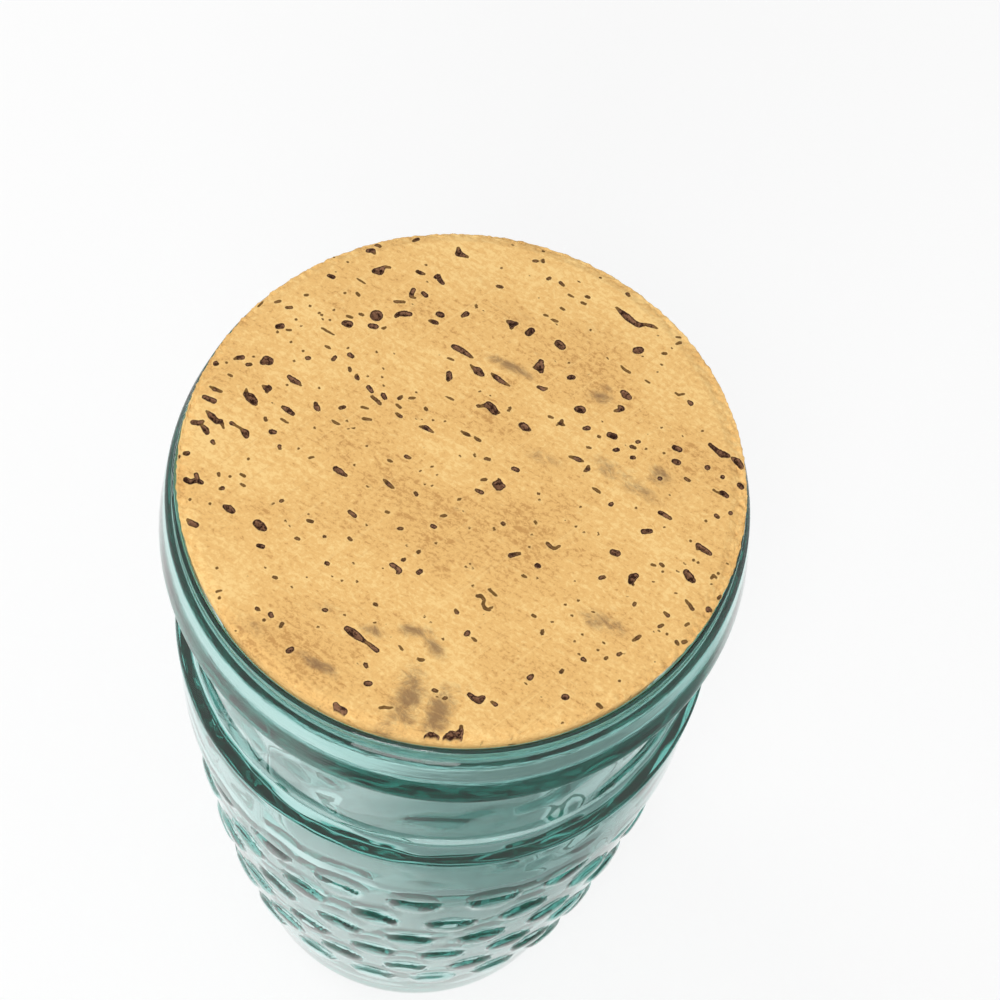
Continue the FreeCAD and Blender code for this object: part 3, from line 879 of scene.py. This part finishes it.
def sea_green_glass(glass):
    """Clear pressed glass whose thick places are deep sea green, with fine rings round its rim."""
    finish = Finish(bpy.data.materials.new("sea_green_glass"))
    smudges = finish.noise(finish.place(), 55.0, detail=5.0, roughness=0.6)
    film = finish.rise(smudges, 0.55, 0.8)
    rim_bottom = glass.crest - glass.rim_height
    height = finish.node("ShaderNodeSeparateXYZ", None, {"Vector": finish.place()}, "Z")
    on_rim = finish.rise(height, rim_bottom - glass.rim_cove, rim_bottom)
    rings = finish.noise(finish.place(0.0, RINGS_FLATTENED), 900.0, detail=3.0, roughness=0.6)
    bump = finish.bump(0.15, RING_DEPTH, rings * on_rim)
    absorption = finish.node("ShaderNodeVolumeAbsorption", None,
                             {"Color": (*glass.tint, 1.0), "Density": glass.density})
    return finish.surface({
        "Base Color": WHITE,
        "Roughness": glass.polish * (0.4 + film),
        "Normal": bump,
        "Transmission Weight": 1.0,
        "IOR": glass.bend,
    }, absorption)


class JAR_OT_glass(bpy.types.Operator):
    """Turn the glass jar from its section and press the rows of ovals into its body"""
    bl_idname = "jar.glass"
    bl_label = "Glass jar"

    def execute(self, context):
        glass = context.scene.jar_glass
        corners = jar_outline(glass)
        piece = draw_section("pressed_glass_jar", corners)
        round_corners(corners)
        divide_long_edges(PLAIN_STEP)
        turn_section(piece)
        places = points_of(piece)
        weigh(piece, "ovals", oval_weights(glass, places))
        weigh(piece, "waves", wave_weights(glass, places))
        displaced(piece, "ovals", glass.oval_rise)
        displaced(piece, "waves", glass.wave_rise, clouds("glass_waves", glass.wave_size, 1),
                  mid_level=0.5)
        piece.data.materials.append(sea_green_glass(glass))
        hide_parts("glass_jar")
        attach(piece, "jar")
        return {"FINISHED"}


def camera_rows(studio):
    """Directions to the right of the picture, down it and into it, as a matrix's rows."""
    into = Vector((0, math.cos(studio.elevation), -math.sin(studio.elevation)))
    right = Vector((1, 0, 0))
    level = Matrix((right, into.cross(right), into))
    turn = Matrix.Rotation(studio.roll, 3, "Z") @ Matrix.Rotation(studio.tilt, 3, "X")
    return turn @ Matrix.Rotation(studio.pan, 3, "Y") @ level


def camera_place(studio):
    """Where the camera stands."""
    lid_middle = Vector((0, 0, LID_TOP))
    away = Vector((0, -math.cos(studio.elevation), math.sin(studio.elevation)))
    return lid_middle + studio.distance * away


def on_lid(studio, across, down):
    """The point of the lid's top that shows at a pixel."""
    half = PHOTO_SIDE / 2
    sight = Vector(((across - half) / studio.focal_pixels, (down - half) / studio.focal_pixels, 1))
    ray = camera_rows(studio).transposed() @ sight
    start = camera_place(studio)
    return start + ray * ((LID_TOP - start.z) / ray.z)


SIDE_ROWS = 12
UNDERSIDE_SHARES = (0.85, 0.55, 0.25)
ARC_STEPS = 4


def lid_rows(cork):
    """Radii and heights of the rings below the lid's top face, down to the bottom's middle."""
    steep = math.atan(cork.taper_share)
    edge = cork.edge_round
    rows = []
    for step in range(1, ARC_STEPS + 1):
        bend = (math.pi / 2 + steep) * step / ARC_STEPS
        rows.append((cork.top_radius - edge + edge * math.sin(bend) - edge * cork.taper_share,
                     LID_TOP - edge + edge * math.cos(bend)))
    bottom = cork.top_radius - (LID_TOP - LID_BOTTOM) * cork.taper_share
    top_ring = rows[-1]
    low_ring = (bottom + edge * cork.taper_share, LID_BOTTOM + edge)
    for row in range(1, SIDE_ROWS + 1):
        share = row / SIDE_ROWS
        rows.append((top_ring[0] + (low_ring[0] - top_ring[0]) * share,
                     top_ring[1] + (low_ring[1] - top_ring[1]) * share))
    for step in range(1, ARC_STEPS + 1):
        bend = math.pi / 2 * step / ARC_STEPS
        rows.append((low_ring[0] - edge + edge * math.cos(bend), low_ring[1] - edge * math.sin(bend)))
    for share in UNDERSIDE_SHARES:
        rows.append((low_ring[0] * share, LID_BOTTOM))
    return rows


def worn_top(cork, height):
    """How much wider, narrower and off-centre the lid is at a height above the jar's crest."""
    share = max(height - JAR_CREST, 0) / (LID_TOP - JAR_CREST)
    wide = 1 + share * cork.stretch / cork.top_radius
    deep = 1 - share * cork.squeeze / cork.top_radius
    return wide, deep, share * cork.shift_right, share * cork.shift_back


def cork_blank(cork):
    """A tapered plug, a little out of round above the jar, whose top is a fine grid of faces."""
    bpy.ops.object.select_all(action="DESELECT")
    start = cork.top_radius - cork.edge_round - cork.edge_round * cork.taper_share
    bpy.ops.mesh.primitive_circle_add(vertices=4 * cork.span, radius=start, fill_type="NOTHING")
    piece = bpy.context.object
    piece.name = "natural_cork_lid"
    piece.data.name = "natural_cork_lid"
    bpy.ops.object.mode_set(mode="EDIT")
    bpy.ops.mesh.select_all(action="SELECT")
    wide, deep, right, back = worn_top(cork, LID_TOP)
    bpy.ops.transform.resize(value=(wide, deep, 1), center_override=(0, 0, 0))
    bpy.ops.transform.translate(value=(right, back, LID_TOP))
    bpy.ops.mesh.fill_grid(span=cork.span)
    bpy.ops.mesh.select_mode(type="EDGE")
    bpy.ops.mesh.select_all(action="DESELECT")
    bpy.ops.mesh.select_non_manifold(extend=False, use_wire=False, use_boundary=True,
                                     use_multi_face=False, use_non_contiguous=False, use_verts=False)
    radius = start
    height = LID_TOP
    for next_radius, next_height in lid_rows(cork):
        next_wide, next_deep, next_right, next_back = worn_top(cork, next_height)
        bpy.ops.mesh.extrude_edges_move(TRANSFORM_OT_translate={
            "value": (next_right - right, next_back - back, next_height - height)})
        grow = next_radius / radius
        bpy.ops.transform.resize(value=(grow * next_wide / wide, grow * next_deep / deep, 1),
                                 center_override=(next_right, next_back, next_height))
        wide, deep, right, back = next_wide, next_deep, next_right, next_back
        radius = next_radius
        height = next_height
    bpy.ops.mesh.merge(type="CENTER")
    bpy.ops.mesh.select_all(action="SELECT")
    bpy.ops.mesh.normals_make_consistent(inside=False)
    bpy.ops.object.mode_set(mode="OBJECT")
    bpy.ops.object.shade_smooth()
    return piece


SPECK_SEED = 11
SPECK_RADII = (0.00005, 0.00012)
SPECK_LENGTH = 0.0005
SPECK_LEAN = 0.5
FAR_FROM_PORES = -0.001


def pore_runs(cork, studio):
    """Strokes of all pores on the lid's top, each two ends with their half widths, in metres."""
    pixel = (on_lid(studio, PHOTO_SIDE / 2 + 1, PHOTO_SIDE / 2)
             - on_lid(studio, PHOTO_SIDE / 2, PHOTO_SIDE / 2)).length
    runs = []
    dots = [((across, down, DOT_HALF_WIDTH),) for across, down in PORE_DOTS]
    for stroke in (*PORE_STROKES, *dots):
        points = [(*on_lid(studio, across, down).xy, half * pixel) for across, down, half in stroke]
        runs += list(zip(points, points[1:] or points))
    chance = np.random.RandomState(SPECK_SEED)
    for speck in range(cork.speck_count):
        radius = cork.top_radius * math.sqrt(chance.uniform())
        turn = chance.uniform(0, 2 * math.pi)
        half = chance.uniform(*SPECK_RADII)
        lean = cork.grain_turn + chance.normal(0, SPECK_LEAN)
        reach = chance.uniform(0, SPECK_LENGTH)
        place = np.array((radius * math.cos(turn), radius * math.sin(turn)))
        along = np.array((math.cos(lean), math.sin(lean))) * reach
        runs.append(((*place, half), (*(place + along), half)))
    return runs


def pore_reach(places, runs):
    """How deep each point lies inside a pore's outline, and the half width of that pore."""
    reach = np.full(len(places), FAR_FROM_PORES)
    width = np.zeros(len(places))
    for (x0, y0, half0), (x1, y1, half1) in runs:
        step = np.array((x1 - x0, y1 - y0))
        away = places - (x0, y0)
        span = step @ step
        share = np.clip(away @ step / span, 0, 1) if span else np.zeros(len(places))
        half = half0 + (half1 - half0) * share
        inside = half - np.linalg.norm(away - share[:, None] * step, axis=1)
        nearer = inside > reach
        reach[nearer] = inside[nearer]
        width[nearer] = half[nearer]
    return reach, width


def stain_depths(places, studio):
    """How stained each point of the lid's top is."""
    depths = np.zeros(len(places))
    for across, down, long_half, short_half, turn, strength in STAINS:
        middle = np.array(on_lid(studio, across, down).xy)
        lean = math.radians(turn)
        tip = on_lid(studio, across + long_half * math.cos(lean), down + long_half * math.sin(lean))
        side = on_lid(studio, across - short_half * math.sin(lean), down + short_half * math.cos(lean))
        along = np.array(tip.xy) - middle
        beside = np.array(side.xy) - middle
        away = places - middle
        share = (away @ along / (along @ along)) ** 2 + (away @ beside / (beside @ beside)) ** 2
        depths = np.maximum(depths, strength * np.exp(-share))
    return depths


# Cloudy textures of the cork: the setting that turns each, its stretch along X, Y and Z, and then
# scale, detail, roughness and distortion.
GRAIN = {
    "mottle": ("grain_turn", (0.8, 1.1, 1.0), 1150.0, 6.0, 0.74, 0.4),
    "streaks": ("grain_turn", (0.30, 1.3, 1.0), 700.0, 5.0, 0.7, 0.3),
    "patches": ("grain_turn", (0.6, 1.0, 1.0), 60.0, 4.0, 0.6, 0.0),
    "smudges": ("grain_turn", (0.7, 1.0, 1.0), 420.0, 6.0, 0.75, 0.8),
    "saw": ("saw_turn", (0.03, 1.0, 1.0), 800.0, 3.0, 0.7, 0.0),
    "layers": (None, (0.12, 0.12, 1.0), 620.0, 4.0, 0.6, 0.3),
    "channels": (None, (1.0, 1.0, 0.13), 420.0, 4.0, 0.6, 0.5),
    "wander": (None, (1.0, 1.0, 1.0), 1500.0, 2.0, 0.6, 0.0),
    "lining": (None, (1.0, 1.0, 1.0), 1100.0, 3.0, 0.7, 0.0),
}


def cork_grain(finish, cork):
    """The cloudy textures of the cork by name, and flow: streaks on the top and layers on the side."""
    grain = {}
    for name, (turn, stretch, *cloud) in GRAIN.items():
        lean = getattr(cork, turn) if turn else 0.0
        grain[name] = finish.noise(finish.place(lean, stretch), *cloud)
    top = finish.attribute("top_face")
    grain["flow"] = top * grain["streaks"] + (1 - top) * grain["layers"]
    return grain


def cork_colour(finish, cork, grain):
    """Mottled tan with streaks, saw marks, hairs and stains."""
    top = finish.attribute("top_face")
    stain = finish.attribute("stain_depth")
    saw = grain["saw"]
    tone = 0.48 * grain["mottle"] + 0.24 * grain["flow"] + 0.28 * grain["patches"]
    body = finish.blend(finish.rise(tone, 0.395, 0.485), cork.brown, cork.tan)
    body = finish.blend(finish.rise(tone, 0.49, 0.58), body, cork.pale)
    body = finish.blend(finish.rise(saw, 0.57, 0.70) * top * 0.5, body, cork.pale)
    body = finish.blend(finish.rise(saw, 0.42, 0.30) * top * 0.25, body, cork.brown)
    hairs = finish.rise(grain["streaks"], 0.57, 0.68) * finish.rise(grain["patches"], 0.52, 0.42) * top
    body = finish.blend(hairs * 0.5, body, cork.brown)
    ragged = stain + (grain["smudges"] - 0.5) * 2.2 * finish.rise(stain, 0.02, 0.45)
    return finish.blend(finish.rise(ragged, 0.08, 1.05) * 0.85, body, cork.stain)


def with_pores(finish, cork, grain, body, channel):
    """The cork's colour with its pores, dark and woody on the top, and the side's channels: near black at a
    pore's outline, partly its own dark content and partly painted shade of the hollow.
    """
    top = finish.attribute("top_face")
    edge = finish.attribute("pore_reach") + (grain["wander"] - 0.5) * (0.22 * MILLIMETRE)
    pore = finish.rise(edge, -0.15 * MILLIMETRE, -0.03 * MILLIMETRE) * finish.rise(top, 0.3, 0.6)
    halo = finish.rise(edge, -0.60 * MILLIMETRE, -0.15 * MILLIMETRE) * top
    # A pore stays near black for this reach inside its outline: painted shade of the hollow's rim.
    middle = finish.rise(edge, 0.0, 0.16 * MILLIMETRE)
    woody = finish.rise(grain["lining"], 0.40, 0.58) * middle
    hollow = finish.blend(woody, cork.pore, cork.pore_wall)
    small = finish.rise(finish.attribute("pore_width"), 0.36 * MILLIMETRE, 0.20 * MILLIMETRE)
    hollow = finish.blend(small * 0.7, hollow, cork.small_pore)
    body = finish.blend(halo * 0.30, body, cork.pale)
    return finish.blend(pore.larger(channel), body, hollow)


CORK_RELIEF = 0.3 * MILLIMETRE


def natural_cork(cork):
    """Sawn cork: mottled tan, with stains, dark pores, layered sides and fine saw marks."""
    finish = Finish(bpy.data.materials.new("natural_cork"))
    grain = cork_grain(finish, cork)
    channel = finish.rise(grain["channels"], 0.63, 0.69) * (1 - finish.attribute("top_face"))
    body = with_pores(finish, cork, grain, cork_colour(finish, cork, grain), channel)
    relief = 0.8 * grain["mottle"] + 0.3 * grain["flow"] + 0.4 * grain["saw"] - 1.2 * channel
    return finish.surface({
        "Base Color": body,
        "Roughness": 0.75 + 0.2 * grain["mottle"],
        "Normal": finish.bump(0.35, CORK_RELIEF, relief),
        "Specular IOR Level": 0.25,
    })


TOP_REACH = 3
WORN_REACH = 2
PIT_FULLNESS = 2.2
SHALLOWEST_PIT = 0.15
CRUMB_SIZE = 0.0011


class JAR_OT_cork(bpy.types.Operator):
    """Turn the cork plug, then open its pores and wear its edge"""
    bl_idname = "jar.cork"
    bl_label = "Cork lid"

    def execute(self, context):
        cork = context.scene.jar_cork
        studio = context.scene.jar_studio
        piece = cork_blank(cork)
        places = points_of(piece)
        flat = places[:, :2]
        reach, width = pore_reach(flat, pore_runs(cork, studio))
        deep = np.clip((LID_TOP - places[:, 2]) / (TOP_REACH * cork.edge_round), 0, 1)
        near_top = 1 - deep
        hollow = np.clip(reach / cork.pit_wall, 0, 1)
        hollow = hollow * hollow * (3 - 2 * hollow)
        share = np.clip(width / cork.pit_depth * PIT_FULLNESS, SHALLOWEST_PIT, 1)
        weigh(piece, "pits", hollow * share * near_top)
        radius = np.hypot(flat[:, 0], flat[:, 1])
        worn_from = cork.top_radius - TOP_REACH * cork.edge_round
        worn = np.clip((radius - worn_from) / (WORN_REACH * cork.edge_round), 0, 1)
        weigh(piece, "worn_edge", worn * near_top)
        displaced(piece, "pits", -cork.pit_depth)
        displaced(piece, "worn_edge", -cork.crumble, clouds("cork_crumble", CRUMB_SIZE, 3))
        store(piece, "pore_reach", reach)
        store(piece, "pore_width", width)
        store(piece, "stain_depth", stain_depths(flat, studio))
        store(piece, "top_face", near_top)
        piece.data.materials.append(natural_cork(cork))
        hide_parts("cork_lid")
        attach(piece, "lid")
        return {"FINISHED"}


def pale_floor(studio):
    """A pale floor that shows as white and keeps a soft shadow.

    Glass mirrors or bends a grey floor at one side of the jar, a painted reflection, while the camera sees
    that floor white; and a dull one under its base.
    """
    finish = Finish(bpy.data.materials.new("pale_floor"))
    place = finish.place()
    side = (math.cos(studio.near_turn), math.sin(studio.near_turn), 0.0)
    away = finish.node("ShaderNodeVectorMath", {"operation": "LENGTH"}, {"Vector": place}, "Value")
    toward = finish.node("ShaderNodeVectorMath", {"operation": "DOT_PRODUCT"}, {0: place, 1: side}, "Value")
    near = finish.rise(toward, studio.near_start, studio.near_end)
    far = finish.rise(away, studio.far_start, studio.far_end)
    # Painted reflection: glossy rays see the floor grey at one side of the jar, where the camera sees it
    # white.
    grey = finish.node("ShaderNodeLightPath", output="Is Glossy Ray") * near * (1 - far)
    under = finish.rise(away, studio.base_radius, studio.base_full)
    shown = studio.backdrop_share * (1 - grey) * (1 - studio.base_shade * under)
    shade = finish.blend(grey, studio.floor_colour, studio.painted_reflection_colour)
    matt = finish.node("ShaderNodeBsdfDiffuse", None, {"Color": shade})
    white = finish.node("ShaderNodeEmission", None, {"Color": WHITE, "Strength": 1.0})
    mixed = finish.node("ShaderNodeMixShader", None, {"Fac": finish.seen() * shown, 1: matt, 2: white})
    finish.node("ShaderNodeOutputMaterial", None, {"Surface": mixed})
    return finish.owner


def soft_room(studio):
    """Even light from all round, which the camera and the glass see as white."""
    finish = Finish(bpy.data.worlds.new("soft_room"))
    shown = finish.blend(finish.seen(), studio.room_colour, WHITE[:3])
    light = finish.node("ShaderNodeBackground", None, {"Color": shown, "Strength": 1.0})
    finish.node("ShaderNodeOutputWorld", None, {"Surface": light})
    return finish.owner


# Soft lamps: name, place, side in metres and power in watts. Each looks at the lid.
LAMPS = (
    ("front_lamp", (-0.15, -0.70, 1.60), 0.40, 7.8),
    ("window_lamp", (-0.90, 0.50, 0.90), 0.50, 3.5),
    ("low_window", (-0.10, -1.05, 0.80), 0.60, 5.0),
)


def add_lamp(name, place, side, power):
    """A square soft lamp that looks at the lid."""
    data = bpy.data.lights.new(name, "AREA")
    data.size = side
    data.energy = power
    lamp = bpy.data.objects.new(name, data)
    lamp.location = place
    lamp.rotation_euler = (Vector((0, 0, LID_TOP)) - Vector(place)).to_track_quat("-Z", "Y").to_euler()
    bpy.context.scene.collection.objects.link(lamp)


CLIP_START = 0.01


def add_camera(studio):
    """The camera of the picture."""
    data = bpy.data.cameras.new("picture_camera")
    data.sensor_width = SENSOR_WIDTH_MM
    data.lens = studio.focal_pixels / PHOTO_SIDE * SENSOR_WIDTH_MM
    data.clip_start = CLIP_START
    camera = bpy.data.objects.new("picture_camera", data)
    right, down, into = camera_rows(studio)
    axes = Matrix((right, -down, -into)).transposed().to_4x4()
    camera.matrix_world = Matrix.Translation(camera_place(studio)) @ axes
    bpy.context.scene.collection.objects.link(camera)
    bpy.context.scene.camera = camera


FLOOR_HEIGHT = -0.0002


class JAR_OT_studio(bpy.types.Operator):
    """Lay the pale floor, and set the soft light and the camera"""
    bl_idname = "jar.studio"
    bl_label = "Studio"

    def execute(self, context):
        studio = context.scene.jar_studio
        bpy.ops.object.select_all(action="DESELECT")
        bpy.ops.mesh.primitive_plane_add(size=studio.floor_size, location=(0, 0, FLOOR_HEIGHT))
        floor = context.object
        floor.name = "pale_floor"
        floor.data.materials.append(pale_floor(studio))
        for lamp in LAMPS:
            add_lamp(*lamp)
        context.scene.world = soft_room(studio)
        context.scene.view_settings.view_transform = "Standard"
        context.scene.cycles.max_bounces = studio.light_bounces
        context.scene.cycles.glossy_bounces = studio.light_bounces
        context.scene.cycles.transmission_bounces = studio.light_bounces
        add_camera(studio)
        return {"FINISHED"}


class JAR_PT_maker(bpy.types.Panel):
    """Sizes, colours and makers of the jar"""
    bl_idname = "JAR_PT_maker"
    bl_label = "Glass jar with cork lid"
    bl_space_type = "VIEW_3D"
    bl_region_type = "UI"
    bl_category = "Jar"

    def draw(self, context):
        for operator in OPERATORS:
            self.layout.operator(operator.bl_idname)
        for name, group in SETTINGS.items():
            box = self.layout.box()
            for field in group.__annotations__:
                box.prop(getattr(context.scene, name), field)


OPERATORS = (JAR_OT_studio, JAR_OT_glass, JAR_OT_cork)
CLASSES = (*SETTINGS.values(), *OPERATORS, JAR_PT_maker)


def register():
    for item in CLASSES:
        bpy.utils.register_class(item)
    for name, group in SETTINGS.items():
        setattr(bpy.types.Scene, name, bpy.props.PointerProperty(type=group))


def unregister():
    for name in SETTINGS:
        delattr(bpy.types.Scene, name)
    for item in reversed(CLASSES):
        bpy.utils.unregister_class(item)


def main():
    register()
    bpy.ops.jar.studio()
    bpy.ops.jar.glass()
    bpy.ops.jar.cork()


if __name__ == "__main__":
    main()
